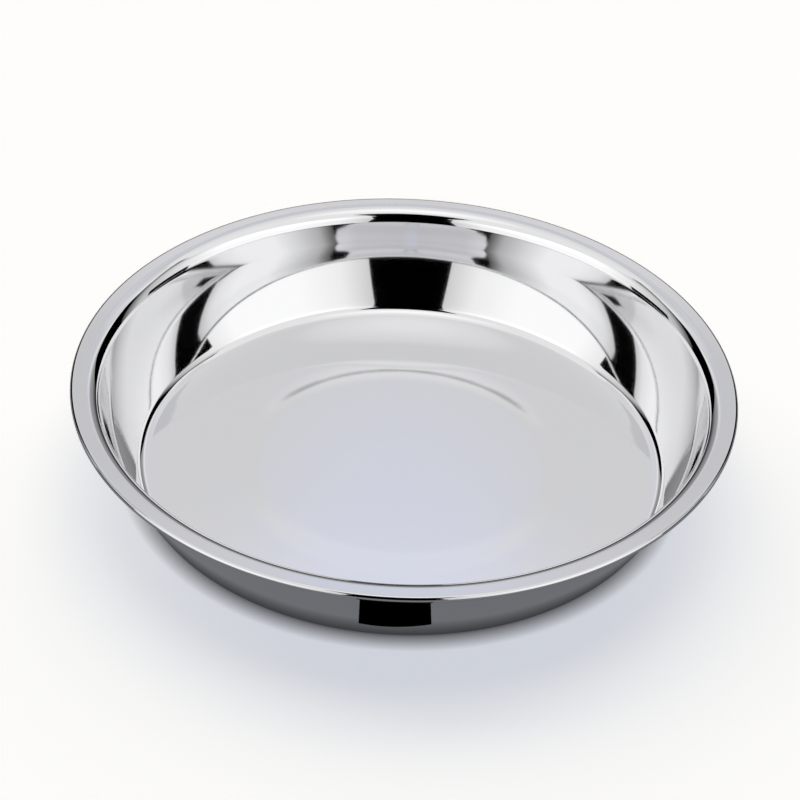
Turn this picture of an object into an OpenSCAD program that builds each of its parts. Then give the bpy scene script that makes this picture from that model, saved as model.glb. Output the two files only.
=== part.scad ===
// Deep round thali plate, pressed from one steel sheet, with a flat rim rolled over a steel wire.
// The plate stands on Z = 0 with its axis along Z.

/* [Plate] */
// Diameter over the rolled rim
plate_d = 300; // [240:1:360]
// Height from the table to the top of the rim
plate_h = 47.4; // [40:0.2:54]
// Thickness of the pressed sheet
sheet_t = 0.8; // [0.5:0.05:1.2]

/* [Rim] */
// Width of the flat part of the rim
rim_flat_w = 4.8; // [3:0.1:12]
// Radius where the wall turns over into the rim, on the upper face
shoulder_r = 7.5; // [4:0.1:9]
// Diameter of the wire inside the rolled edge
wire_d = 1.2; // [0.8:0.1:3]
// Gap all round between the wire and the sheet rolled over it
wire_gap = 0.2; // [0.1:0.01:0.4]
// How far the edge is rolled round the wire, in degrees
curl_turn = 270; // [180:5:280]

/* [Wall] */
// Slope of the straight upper wall, from level, in degrees
wall_angle = 74.4; // [72:0.1:77]
// Radius of the curved lower wall, on the inner face
belly_r = 108; // [80:1:130]
// Radius of the bend between floor and wall, on the inner face
bend_r = 6.5; // [3:0.1:8]
// Slope where that bend runs into the curved lower wall, from level, in degrees
bend_angle = 57.9; // [54:0.1:62]

/* [Floor] */
// Width of the flat ring that the plate stands on
foot_w = 35; // [20:0.5:50]
// Height of the raised middle of the floor above that ring
disc_h = 0.6; // [0.2:0.05:1.5]
// Width of the slope round the raised middle
ramp_w = 8; // [5:0.1:14]
// Radius of the upper edge of that slope
ramp_edge_r = 12; // [6:0.5:20]

/* [Smoothness] */
// Largest gap between a curve of the section and its facets
curve_gap = 0.004; // [0.002:0.001:0.02]

/* [Hidden] */

steel_colour = [0.81, 0.82, 0.86];
wire_colour = [0.62, 0.63, 0.65];
round_steps = 180;
wire_steps = 36;

// Rolled edge: the sheet goes round the wire, and both share one centre
curl_r = wire_d / 2 + wire_gap + sheet_t;
curl_c = [plate_d / 2 - curl_r, plate_h - curl_r];

// Shoulder between the flat rim and the wall
shoulder_c = [curl_c.x - rim_flat_w, plate_h - shoulder_r];

// The straight wall leaves the shoulder at wall_top and runs down along wall_way
wall_way = [cos(wall_angle), sin(wall_angle)];
wall_in = [-sin(wall_angle), cos(wall_angle)];
wall_top = shoulder_c + shoulder_r * wall_in;

// The bend and the curved lower wall rise by fixed amounts, and the straight wall takes up the rest
bend_rise = bend_r * (1 - cos(bend_angle));
belly_rise = belly_r * (cos(bend_angle) - cos(wall_angle));
wall_len = (wall_top.y - sheet_t - bend_rise - belly_rise) / sin(wall_angle);
belly_c = wall_top - wall_len * wall_way + belly_r * wall_in;
bend_c = belly_c + (belly_r - bend_r) * [sin(bend_angle), -cos(bend_angle)];

// Slope round the raised middle: an outward curve that runs into a wider inward one
ramp_angle = 2 * atan(disc_h / ramp_w);
ramp_foot_r = ramp_w / sin(ramp_angle) - ramp_edge_r;
ramp_foot_c = [bend_c.x - foot_w, sheet_t + ramp_foot_r];
ramp_edge_c = [ramp_foot_c.x - ramp_w, sheet_t + disc_h - ramp_edge_r];

// Points of an arc, at angles counted from straight down towards +X
function arc(centre, radius, from, to) =
    let (
        step = 2 * acos(1 - curve_gap / radius),
        count = max(2, ceil(abs(to - from) / step))
    )
    [for (i = [0 : count])
        let (a = from + (to - from) * i / count)
        centre + radius * [sin(a), -cos(a)]];

// One face of the sheet, at a depth below its upper face, from the axis out to the rolled edge
function face(depth) = concat(
    [[0, sheet_t + disc_h - depth]],
    arc(ramp_edge_c, ramp_edge_r - depth, 180, 180 - ramp_angle),
    arc(ramp_foot_c, ramp_foot_r + depth, -ramp_angle, 0),
    arc(bend_c, bend_r + depth, 0, bend_angle),
    arc(belly_c, belly_r + depth, bend_angle, wall_angle),
    arc(shoulder_c, shoulder_r - depth, 180 + wall_angle, 180),
    arc(curl_c, curl_r - depth, 180, 180 - curl_turn)
);

function turned(list) = [for (i = [len(list) - 1 : -1 : 0]) list[i]];

// The pressed dish: floor, wall, flat rim and rolled edge in one sheet
module dish() {
    color(steel_colour)
        rotate_extrude($fn = round_steps)
            polygon(concat(face(0), turned(face(sheet_t))));
}

// The wire that stiffens the rim, closed inside the rolled edge
module rim_wire() {
    color(wire_colour)
        rotate_extrude($fn = round_steps)
            translate(curl_c)
                circle(d = wire_d, $fn = wire_steps);
}

dish();
rim_wire();
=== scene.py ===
import math

import bmesh
import bpy
from mathutils import Matrix, Vector


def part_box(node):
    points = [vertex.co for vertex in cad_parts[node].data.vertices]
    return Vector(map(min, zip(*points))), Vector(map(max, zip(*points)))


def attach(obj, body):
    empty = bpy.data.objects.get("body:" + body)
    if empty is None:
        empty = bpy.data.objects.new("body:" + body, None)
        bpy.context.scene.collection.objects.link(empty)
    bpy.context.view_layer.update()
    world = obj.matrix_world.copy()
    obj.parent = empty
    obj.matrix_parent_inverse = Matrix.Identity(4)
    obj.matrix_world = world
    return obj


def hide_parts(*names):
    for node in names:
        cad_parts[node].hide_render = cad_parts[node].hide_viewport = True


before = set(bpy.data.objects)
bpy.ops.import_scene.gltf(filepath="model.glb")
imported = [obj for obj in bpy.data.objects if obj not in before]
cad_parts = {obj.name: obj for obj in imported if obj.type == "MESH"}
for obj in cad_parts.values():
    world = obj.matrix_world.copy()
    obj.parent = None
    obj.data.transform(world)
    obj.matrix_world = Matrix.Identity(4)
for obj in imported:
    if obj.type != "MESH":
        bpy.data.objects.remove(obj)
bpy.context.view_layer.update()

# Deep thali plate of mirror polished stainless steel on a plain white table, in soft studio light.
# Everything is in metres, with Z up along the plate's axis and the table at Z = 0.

MM = 0.001

# Section of the pressed sheet, measured on its upper face
SHEET = 0.8 * MM
RIM_FLAT = 4.8 * MM
SHOULDER_R = 7.5 * MM
CURL_TURN = math.radians(270)
WALL_SLOPE = math.radians(74.4)
BELLY_R = 108 * MM
BEND_SLOPE = math.radians(57.9)
BEND_R = 6.5 * MM
FOOT_W = 35 * MM

# Raised middle of the floor, lower and with a wider slope than in the part's source, because the edge
# that the photograph shows is softer
DISC_H = 0.2 * MM
RAMP_W = 18 * MM
RAMP_EDGE_R = 400 * MM

# Fineness of the turned mesh: steps round the axis, rings beside a curve that keep a flat true, the
# distance at which the first and last turn are joined, and the bend from which an edge stays sharp
ROUND_STEPS = 400
GUARD = 0.4 * MM
WELD = 0.001 * MM
SHARP_EDGE = math.radians(40)

# Camera, fitted to the photograph, which looks a little beside and below its target
TARGET = Vector((0, 0, 46.2 * MM))
CAMERA_DISTANCE = 1.505
CAMERA_RISE = math.radians(36.7)
CAMERA_ROLL = math.radians(2.65)
AIM_RIGHT = -1.78 * MM
AIM_UP = -7.19 * MM
LENS_MM = 150.5
SENSOR_MM = 36

# Table top, which ends far outside the picture
TABLE_R = 14.0
TABLE_STEPS = 64

# Studio: panels bent round the plate like parts of a dome, given as azimuth and elevation in degrees.
# Azimuth 0 is behind the plate and 180 is behind the camera. All but the dark room are made for the
# right and mirrored to the left. Each is cut into squares of PANEL_STEP degrees.
PANEL_STEP = 1
DOME_R = 4.0
OUTER_DOME_R = DOME_R * 1.05
INNER_DOME_R = DOME_R * 0.95

# On the dome: the grey backdrop, two softboxes and the ceiling
BACKDROP_HALF = [
    (0, 0), (30, 0), (30, 27), (40, 31), (47, 36), (54, 38), (57, 43), (55, 52), (0, 52),
]
SIDE_BOX = [(57, 0), (112, 0), (112, 50), (57, 50)]
FRONT_BOX = [(112, 0), (164, 0), (165.5, 28), (163, 46), (112, 50)]
CEILING_HALF = [(0, 52), (180, 52), (180, 90), (0, 90)]

# Outside it: black in the gap between backdrop and softboxes, and behind the camera
DARK_GAP = [(28, 0), (64, 0), (64, 52), (28, 52)]
DARK_ROOM = [(150, 0), (210, 0), (210, 44), (150, 44)]

# Inside it: a black flag before the side softbox, and a thin bar before the backdrop, which the slope
# round the raised middle mirrors as a fine dark arc
DARK_FLAG = [(73, 0), (93, 0), (93, 15), (73, 15)]
GREY_BAR = [
    (0, 33.2), (1.6, 33.33), (3.25, 33.75), (4.75, 34.6), (5.15, 35.05), (4.5, 34.92), (3.07, 34.15),
    (1.53, 33.73), (0, 33.6),
]

# Levels of the panels, as stops of azimuth or elevation and light, where 1 is white
BACKDROP_ROUND = [(0, 1.0), (40, 1.05), (57, 1.3)]
BACKDROP_RISE = [
    (8, 0.05), (19, 0.4), (27, 0.5), (31, 1.0), (33.5, 1.25), (36, 1.0),
    (39.5, 1.0), (41, 1.08), (44, 1.08), (46, 1.0),
]
SOFTBOX_ROUND = [
    (57, 0.1), (62, 0.3), (68, 0.6), (87, 0.95), (105, 1.25), (135, 1.25), (153, 1.1), (164, 0.8),
]
SOFTBOX_RISE = [(0, 1.0), (26, 1.0), (36, 1.15), (50, 1.15)]
CEILING_RISE = [(71, 1.0), (75, 1.1), (86, 1.25)]
BAR_LEVEL = 0.35

# Bluer spot of the backdrop: its elevation, and its share by the angle from its middle
SPOT_RISE = 41
SPOT_FADE = [(0, 1.0), (2.5, 1.0), (6, 0.0)]

# A black strip leans in from behind the camera to over the plate's front: half its span in azimuth and
# its elevation on the dome, and the width and place of its near end
STRIP_SPAN = 14
STRIP_RISE = 43
STRIP_W = 0.50
STRIP_Y = -0.35
STRIP_Z = 1.0

# A black card lies on the table before the plate, where only the outer wall mirrors it
FRONT_CARD = [
    (-23.5 * MM, -172 * MM), (23 * MM, -172 * MM), (17.5 * MM, -125.7 * MM), (-16 * MM, -124.5 * MM),
]
FRONT_CARD_Z = 0.3 * MM

# Lamps as azimuth, elevation and share of the light on the table
LAMP_SPREAD = math.radians(50)
LAMPS = [
    ("lamp_back_left", -40, 30, 0.116),
    ("lamp_back_right", 20, 30, 0.093),
    ("lamp_above", 0, 68, 0.162),
]

# The table's glow for the camera; the dim glow that polished metal sees in its place, which is painted
# shade; and how close to the plate both fade, a painted contact shadow
TABLE_GLOW = 0.7
MIRRORED_SHADE_GLOW = 0.21
CONTACT = 8 * MM


def linear(code):
    """Turns an sRGB hex colour into the linear colour that a shader takes."""
    parts = [int(code[i:i + 2], 16) / 255 for i in (1, 3, 5)]
    return [p / 12.92 if p <= 0.04045 else ((p + 0.055) / 1.055) ** 2.4 for p in parts] + [1.0]


WHITE = linear("#FFFFFF")
BLACK = linear("#000000")
BACKDROP = linear("#E6E6E8")
BACKDROP_SPOT = linear("#E8EBF8")
GLOW = linear("#F2F6FF")
LAMP_COLOUR = linear("#FFF6DF")


def node(tree, kind, links=(), **settings):
    """Adds one node, sets its properties or sockets, and links sockets of earlier nodes to it."""
    new = tree.nodes.new(kind)
    for name, value in settings.items():
        if hasattr(new, name):
            setattr(new, name, value)
        else:
            new.inputs[name.replace("_", " ")].default_value = value
    for source, target in links:
        tree.links.new(source, new.inputs[target])
    return new


def blank_material(name):
    """A new material with no nodes yet, and its node tree."""
    material = bpy.data.materials.new(name)
    material.use_nodes = True
    material.node_tree.nodes.clear()
    return material, material.node_tree


# Materials


def mirror_polished_steel():
    """Stainless steel sheet, pressed and buffed to a mirror on a turning wheel.

    It gives the eye clear, slightly wavering reflections. The pressing leaves the sheet faintly uneven,
    and the wall more so. The wheel leaves very fine rings that only soften the highlights. Towards the
    rim the colour is a shade darker: painted shade, for the dimmer light that the rim mirrors.
    """
    ripple_size = 38 * MM
    ripple_depth = 0.012 * MM
    wall_start = 120 * MM
    wall_end = 128 * MM
    wall_ripple_size = 11 * MM
    wall_ripple_share = 0.35
    ring_spacing = 1.1 * MM
    finest = 0.03
    coarsest = 0.06
    rim_shade_start = 140 * MM
    rim_shade_end = 142 * MM
    material, tree = blank_material("mirror_polished_stainless_steel")
    place = node(tree, "ShaderNodeTexCoord")
    ripple = node(tree, "ShaderNodeTexNoise", [(place.outputs["Object"], "Vector")],
                  Scale=1 / ripple_size, Detail=1.0, Roughness=0.4)
    flat = node(tree, "ShaderNodeVectorMath", [(place.outputs["Object"], 0)], operation="MULTIPLY")
    flat.inputs[1].default_value = (1, 1, 0)
    radius = node(tree, "ShaderNodeVectorMath", [(flat.outputs[0], 0)], operation="LENGTH")
    rings = node(tree, "ShaderNodeTexNoise", [(radius.outputs["Value"], "W")],
                 noise_dimensions="1D", Scale=1 / ring_spacing, Detail=2.0)
    buffed = node(tree, "ShaderNodeMapRange", [(rings.outputs["Fac"], "Value")],
                  To_Min=finest, To_Max=coarsest)
    wall = node(tree, "ShaderNodeMapRange", [(radius.outputs["Value"], "Value")],
                From_Min=wall_start, From_Max=wall_end, To_Max=wall_ripple_share)
    wall_ripple = node(tree, "ShaderNodeTexNoise", [(place.outputs["Object"], "Vector")],
                       Scale=1 / wall_ripple_size, Detail=0.0)
    height = node(tree, "ShaderNodeMath", [(wall_ripple.outputs["Fac"], 0), (wall.outputs["Result"], 1),
                                           (ripple.outputs["Fac"], 2)], operation="MULTIPLY_ADD")
    uneven = node(tree, "ShaderNodeBump", [(height.outputs[0], "Height")],
                  Strength=1.0, Distance=ripple_depth)
    # Painted shade: towards the rim the steel's colour turns a shade darker, for the dimmer light it
    # mirrors
    rim_shade = node(tree, "ShaderNodeMapRange", [(radius.outputs["Value"], "Value")],
               From_Min=rim_shade_start, From_Max=rim_shade_end)
    colour = node(tree, "ShaderNodeMix", [(rim_shade.outputs["Result"], "Factor")], data_type="RGBA")
    colour.inputs["A"].default_value = linear("#E3E3E4")
    colour.inputs["B"].default_value = linear("#D6D6D8")
    steel = node(tree, "ShaderNodeBsdfPrincipled",
                 [(buffed.outputs["Result"], "Roughness"), (uneven.outputs["Normal"], "Normal"),
                  (colour.outputs["Result"], "Base Color")], Metallic=1.0)
    node(tree, "ShaderNodeOutputMaterial", [(steel.outputs["BSDF"], "Surface")])
    return material


def drawn_wire_steel():
    """Plain steel wire, drawn through a die, which gives the eye a fine grain in a dull grey shine."""
    grain_size = 0.25 * MM
    finest = 0.25
    coarsest = 0.45
    material, tree = blank_material("drawn_steel_wire")
    place = node(tree, "ShaderNodeTexCoord")
    grain = node(tree, "ShaderNodeTexNoise", [(place.outputs["Object"], "Vector")],
                 Scale=1 / grain_size, Detail=2.0)
    dulled = node(tree, "ShaderNodeMapRange", [(grain.outputs["Fac"], "Value")],
                  To_Min=finest, To_Max=coarsest)
    steel = node(tree, "ShaderNodeBsdfPrincipled", [(dulled.outputs["Result"], "Roughness")],
                 Base_Color=linear("#CDCED1"), Metallic=1.0)
    node(tree, "ShaderNodeOutputMaterial", [(steel.outputs["BSDF"], "Surface")])
    return material


def white_table_top():
    """Sheet of sanded white acrylic: an even, matt white, which a glow seen only by the camera lifts to
    white.

    Close to the plate an occlusion test fades the glow: a painted contact shadow. The lamps' real shadows
    show bluish, as the glow is bluer than the lamps. Polished metal sees the sheet as a dim grey glow that
    fades the same way: painted shade, for the shade round the plate's foot.
    """
    material, tree = blank_material("sanded_white_acrylic_table")
    path = node(tree, "ShaderNodeLightPath")
    sanded = node(tree, "ShaderNodeBsdfPrincipled", Base_Color=linear("#FEFDFA"), Roughness=1.0,
                  Specular_IOR_Level=0.0)
    # Painted contact shadow: an occlusion test darkens both glows of the table close to the plate
    near = node(tree, "ShaderNodeAmbientOcclusion", Distance=CONTACT)
    seen = node(tree, "ShaderNodeMath", [(near.outputs["AO"], 0), (path.outputs["Is Camera Ray"], 1)],
                operation="MULTIPLY")
    level = node(tree, "ShaderNodeMath", [(seen.outputs[0], 0)], operation="MULTIPLY")
    level.inputs[1].default_value = TABLE_GLOW
    glow = node(tree, "ShaderNodeEmission", [(level.outputs[0], "Strength")], Color=GLOW)
    lit = node(tree, "ShaderNodeAddShader", [(sanded.outputs[0], 0), (glow.outputs[0], 1)])
    # Painted shade: rays from polished metal see the table as a dim grey glow instead of the lit white
    dimmed = node(tree, "ShaderNodeMath", [(near.outputs["AO"], 0)], operation="MULTIPLY")
    dimmed.inputs[1].default_value = MIRRORED_SHADE_GLOW
    mirrored_shade = node(tree, "ShaderNodeBsdfPrincipled", [(dimmed.outputs[0], "Emission Strength")],
                 Base_Color=linear("#70747E"), Roughness=1.0, Specular_IOR_Level=0.0,
                 Emission_Color=GLOW)
    both = node(tree, "ShaderNodeMixShader", [(path.outputs["Is Glossy Ray"], 0), (lit.outputs[0], 1),
                                              (mirrored_shade.outputs[0], 2)])
    node(tree, "ShaderNodeOutputMaterial", [(both.outputs[0], "Surface")])
    return material


def panel_light():
    """Light of the studio panels, in the colour that is written on each mesh."""
    material, tree = blank_material("panel_light")
    level = node(tree, "ShaderNodeAttribute", attribute_name="glow")
    glow = node(tree, "ShaderNodeEmission", [(level.outputs["Color"], "Color")], Strength=1.0)
    node(tree, "ShaderNodeOutputMaterial", [(glow.outputs["Emission"], "Surface")])
    return material


# Section of the plate


def on_arc(centre, radius, angle):
    """Point of an arc in the XZ plane, at an angle counted from straight down towards +X."""
    return Vector((centre.x + radius * math.sin(angle), 0, centre.z - radius * math.cos(angle)))


def sweep(bm, last, centre, turn, steps):
    """Draws the section on round an arc's centre and returns its new last vertex."""
    swept = bmesh.ops.spin(bm, geom=[last], cent=centre, axis=(0, -1, 0), angle=turn, steps=steps)
    return [g for g in swept["geom_last"] if isinstance(g, bmesh.types.BMVert)][0]


def run(bm, last, end):
    """Draws the section straight on to a point, with a ring close to each end."""
    start = last.co.copy()
    way = (end - start).normalized()
    for stop in (start + GUARD * way, end - GUARD * way, end):
        drawn = bmesh.ops.extrude_vert_indiv(bm, verts=[last])
        last = drawn["verts"][0]
        last.co = stop
    return last


def plate_arcs(rim_r, top, curl_c):
    """Arcs of the section from the middle outwards.

    Each is its centre, its radius on the upper face, 1 if that face is the hollow side or -1 if it is
    the round side, its two end angles, and its steps on the upper and lower face.
    """
    turn_over = math.pi
    shoulder_c = Vector((curl_c.x - RIM_FLAT, 0, top - SHOULDER_R))
    wall_top = on_arc(shoulder_c, SHOULDER_R, turn_over + WALL_SLOPE)
    bend_rise = BEND_R * (1 - math.cos(BEND_SLOPE))
    belly_rise = BELLY_R * (math.cos(BEND_SLOPE) - math.cos(WALL_SLOPE))
    wall_len = (wall_top.z - SHEET - bend_rise - belly_rise) / math.sin(WALL_SLOPE)
    wall_foot = wall_top - wall_len * Vector((math.cos(WALL_SLOPE), 0, math.sin(WALL_SLOPE)))
    belly_c = on_arc(wall_foot, BELLY_R, turn_over + WALL_SLOPE)
    bend_c = on_arc(belly_c, BELLY_R - BEND_R, BEND_SLOPE)
    ramp_slope = 2 * math.atan(DISC_H / RAMP_W)
    ramp_foot_r = RAMP_W / math.sin(ramp_slope) - RAMP_EDGE_R
    ramp_foot_c = Vector((bend_c.x - FOOT_W, 0, SHEET + ramp_foot_r))
    ramp_edge_c = Vector((ramp_foot_c.x - RAMP_W, 0, SHEET + DISC_H - RAMP_EDGE_R))
    return [
        (ramp_edge_c, RAMP_EDGE_R, -1, turn_over, turn_over - ramp_slope, 6, 4),
        (ramp_foot_c, ramp_foot_r, 1, -ramp_slope, 0, 6, 4),
        (bend_c, BEND_R, 1, 0, BEND_SLOPE, 22, 14),
        (belly_c, BELLY_R, 1, BEND_SLOPE, WALL_SLOPE, 16, 8),
        (shoulder_c, SHOULDER_R, -1, turn_over + WALL_SLOPE, turn_over, 26, 14),
        (curl_c, rim_r - curl_c.x, -1, turn_over, turn_over - CURL_TURN, 44, 20),
    ]


def pressed_dish():
    """The plate as one closed skin: a section drawn from the axis to the rolled edge and back, turned."""
    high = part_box("dish")[1]
    wire_low, wire_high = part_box("rim_wire")
    wire_r = (wire_high.z - wire_low.z) / 2
    curl_c = Vector((wire_high.x - wire_r, 0, wire_high.z - wire_r))
    arcs = plate_arcs(high.x, high.z, curl_c)
    bm = bmesh.new()
    last = bm.verts.new((0, 0, SHEET + DISC_H))
    for centre, radius, side, start, end, steps, under_steps in arcs:
        first = on_arc(centre, radius, start)
        if (first - last.co).length > GUARD:
            last = run(bm, last, first)
        last = sweep(bm, last, centre, end - start, steps)
    for centre, radius, side, start, end, steps, under_steps in reversed(arcs):
        first = on_arc(centre, radius + side * SHEET, end)
        if (first - last.co).length > GUARD:
            last = run(bm, last, first)
        last = sweep(bm, last, centre, start - end, under_steps)
    run(bm, last, Vector((0, 0, DISC_H)))
    bmesh.ops.spin(bm, geom=bm.verts[:] + bm.edges[:], cent=(0, 0, 0), axis=(0, 0, 1),
                   angle=2 * math.pi, steps=ROUND_STEPS, use_merge=True)
    bmesh.ops.remove_doubles(bm, verts=bm.verts[:], dist=WELD)
    bmesh.ops.recalc_face_normals(bm, faces=bm.faces[:])
    for face in bm.faces:
        face.smooth = True
    for edge in bm.edges:
        edge.smooth = edge.calc_face_angle(0) < SHARP_EDGE
    return finished(bm, "polished_dish", mirror_polished_steel())


def finished(bm, name, material):
    """Turns a bmesh into an object at the origin, with its material."""
    mesh = bpy.data.meshes.new(name)
    bm.to_mesh(mesh)
    bm.free()
    mesh.materials.append(material)
    piece = bpy.data.objects.new(name, mesh)
    bpy.context.scene.collection.objects.link(piece)
    return piece


# Studio


def toward(azimuth, elevation, distance):
    """Point seen from the plate at an azimuth, counted from the back to the right, and an elevation."""
    az = math.radians(azimuth)
    el = math.radians(elevation)
    return distance * Vector((math.sin(az) * math.cos(el), math.cos(az) * math.cos(el), math.sin(el)))


def between(stops, value):
    """Level at a value, straight between the stops of a list."""
    for (low, start), (high, end) in zip(stops, stops[1:]):
        if value <= high:
            return start + (end - start) * max(0, value - low) / (high - low)
    return stops[-1][1]


def shade(colour, level):
    """A colour made lighter or darker by a level, where 1 leaves it as it is."""
    return [part * level for part in colour[:3]] + [1.0]


def backdrop_glow(azimuth, elevation):
    """The backdrop is lit a little bluer in the spot that the plate's floor mirrors."""
    spot = between(SPOT_FADE, math.hypot(azimuth, elevation - SPOT_RISE))
    mixed = [a + (b - a) * spot for a, b in zip(BACKDROP, BACKDROP_SPOT)]
    return shade(mixed, between(BACKDROP_ROUND, azimuth) * between(BACKDROP_RISE, elevation))


def softbox_glow(azimuth, elevation):
    """A softbox fades towards the backdrop and towards the camera, and is brighter higher up."""
    return shade(WHITE, between(SOFTBOX_ROUND, azimuth) * between(SOFTBOX_RISE, elevation))


def ceiling_glow(azimuth, elevation):
    """The ceiling is brightest straight above the plate."""
    return shade(WHITE, between(CEILING_RISE, elevation))


def bar_glow(azimuth, elevation):
    """The bar is an even, darker grey than the backdrop."""
    return shade(BACKDROP, BAR_LEVEL)


def dark(azimuth, elevation):
    """Black all over."""
    return BLACK


def only_mirrored(bm, name, material):
    """A panel that only shows in reflections, as the white and black cards round polished metal do."""
    sheet = finished(bm, name, material)
    sheet.visible_camera = False
    sheet.visible_diffuse = False
    sheet.visible_shadow = False


def dome_panel(name, corners, distance, material, colour_at, side=1):
    """A panel drawn flat in degrees, cut into squares and bent onto a dome; side -1 puts it on the left."""
    bm = bmesh.new()
    glow = bm.verts.layers.float_color.new("glow")
    bm.faces.new([bm.verts.new((az, el, 0)) for az, el in corners])
    for axis in (Vector((1, 0, 0)), Vector((0, 1, 0))):
        spans = [vert.co.dot(axis) for vert in bm.verts]
        for degree in range(math.ceil(min(spans)), math.ceil(max(spans)), PANEL_STEP):
            bmesh.ops.bisect_plane(bm, geom=bm.verts[:] + bm.edges[:] + bm.faces[:],
                                   plane_co=degree * axis, plane_no=axis)
    for vert in bm.verts:
        azimuth, elevation = vert.co.xy
        vert[glow] = colour_at(azimuth, elevation)
        vert.co = toward(side * azimuth, elevation, distance)
    only_mirrored(bm, name, material)


def flat_card(name, points, material):
    """A flat black card with these corners."""
    bm = bmesh.new()
    glow = bm.verts.layers.float_color.new("glow")
    bm.faces.new([bm.verts.new(point) for point in points])
    for vert in bm.verts:
        vert[glow] = BLACK
    only_mirrored(bm, name, material)


def studio():
    """Everything that the polished metal mirrors, apart from the table and the white room."""
    light = panel_light()
    dome_panel("dark_room", DARK_ROOM, OUTER_DOME_R, light, dark)
    strip = [toward(180 - STRIP_SPAN, STRIP_RISE, DOME_R), toward(180 + STRIP_SPAN, STRIP_RISE, DOME_R),
             Vector((-STRIP_W / 2, STRIP_Y, STRIP_Z)), Vector((STRIP_W / 2, STRIP_Y, STRIP_Z))]
    flat_card("dark_strip", strip, light)
    flat_card("front_card", [(x, y, FRONT_CARD_Z) for x, y in FRONT_CARD], light)
    for side, word in ((-1, "left"), (1, "right")):
        dome_panel("backdrop_" + word, BACKDROP_HALF, DOME_R, light, backdrop_glow, side)
        dome_panel("dark_gap_" + word, DARK_GAP, OUTER_DOME_R, light, dark, side)
        dome_panel("softbox_side_" + word, SIDE_BOX, DOME_R, light, softbox_glow, side)
        dome_panel("softbox_front_" + word, FRONT_BOX, DOME_R, light, softbox_glow, side)
        dome_panel("ceiling_" + word, CEILING_HALF, DOME_R, light, ceiling_glow, side)
        dome_panel("dark_flag_" + word, DARK_FLAG, INNER_DOME_R, light, dark, side)
        dome_panel("grey_bar_" + word, GREY_BAR, INNER_DOME_R, light, bar_glow, side)


def lamps():
    """Soft lamps that light the table and don't show in the metal, where the panels stand for them."""
    for name, azimuth, elevation, share in LAMPS:
        way = toward(azimuth, elevation, 1)
        data = bpy.data.lights.new(name, "SUN")
        # At this strength the lamp alone lights a level white surface to its share of white
        data.energy = math.pi * share / way.z
        data.color = LAMP_COLOUR[:3]
        data.angle = LAMP_SPREAD
        lamp = bpy.data.objects.new(name, data)
        lamp.rotation_euler = way.to_track_quat("Z", "Y").to_euler()
        lamp.visible_glossy = False
        bpy.context.scene.collection.objects.link(lamp)


def table():
    """A wide round table top at the height that the plate stands on."""
    bm = bmesh.new()
    bmesh.ops.create_circle(bm, cap_ends=True, segments=TABLE_STEPS, radius=TABLE_R)
    finished(bm, "table_top", white_table_top())


def camera():
    """The photograph's camera: a long lens that looks down on the plate and is turned a little askew."""
    forward = Vector((0, math.cos(CAMERA_RISE), -math.sin(CAMERA_RISE)))
    right = Vector((1, 0, 0))
    up = right.cross(forward)
    place = TARGET - CAMERA_DISTANCE * forward
    look = (TARGET + AIM_RIGHT * right + AIM_UP * up - place).normalized()
    side = math.cos(CAMERA_ROLL) * right + math.sin(CAMERA_ROLL) * up
    side = (side - side.dot(look) * look).normalized()
    data = bpy.data.cameras.new("camera")
    data.lens = LENS_MM
    data.sensor_width = SENSOR_MM
    seen = bpy.data.objects.new("camera", data)
    bpy.context.scene.collection.objects.link(seen)
    axes = Matrix((side, side.cross(look), -look)).transposed()
    seen.matrix_world = Matrix.Translation(place) @ axes.to_4x4()
    bpy.context.scene.camera = seen


def white_room():
    """White for the camera and for reflections; the lamps light the matt table."""
    world = bpy.data.worlds.new("white_room")
    world.use_nodes = True
    tree = world.node_tree
    tree.nodes.clear()
    path = node(tree, "ShaderNodeLightPath")
    seen = node(tree, "ShaderNodeMath", [(path.outputs["Is Camera Ray"], 0),
                                         (path.outputs["Is Glossy Ray"], 1)], operation="MAXIMUM")
    white = node(tree, "ShaderNodeBackground", [(seen.outputs[0], "Strength")], Color=WHITE)
    node(tree, "ShaderNodeOutputWorld", [(white.outputs[0], "Surface")])
    bpy.context.scene.world = world


camera()
white_room()
table()
studio()
lamps()

dish = pressed_dish()
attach(dish, "root")
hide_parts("dish")

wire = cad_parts["rim_wire"]
wire.data.materials.clear()
wire.data.materials.append(drawn_wire_steel())

bpy.context.scene.view_settings.view_transform = "Standard"

# The light that the polished wall would throw on the table is left out, as the photograph shows none
bpy.context.scene.cycles.caustics_reflective = False
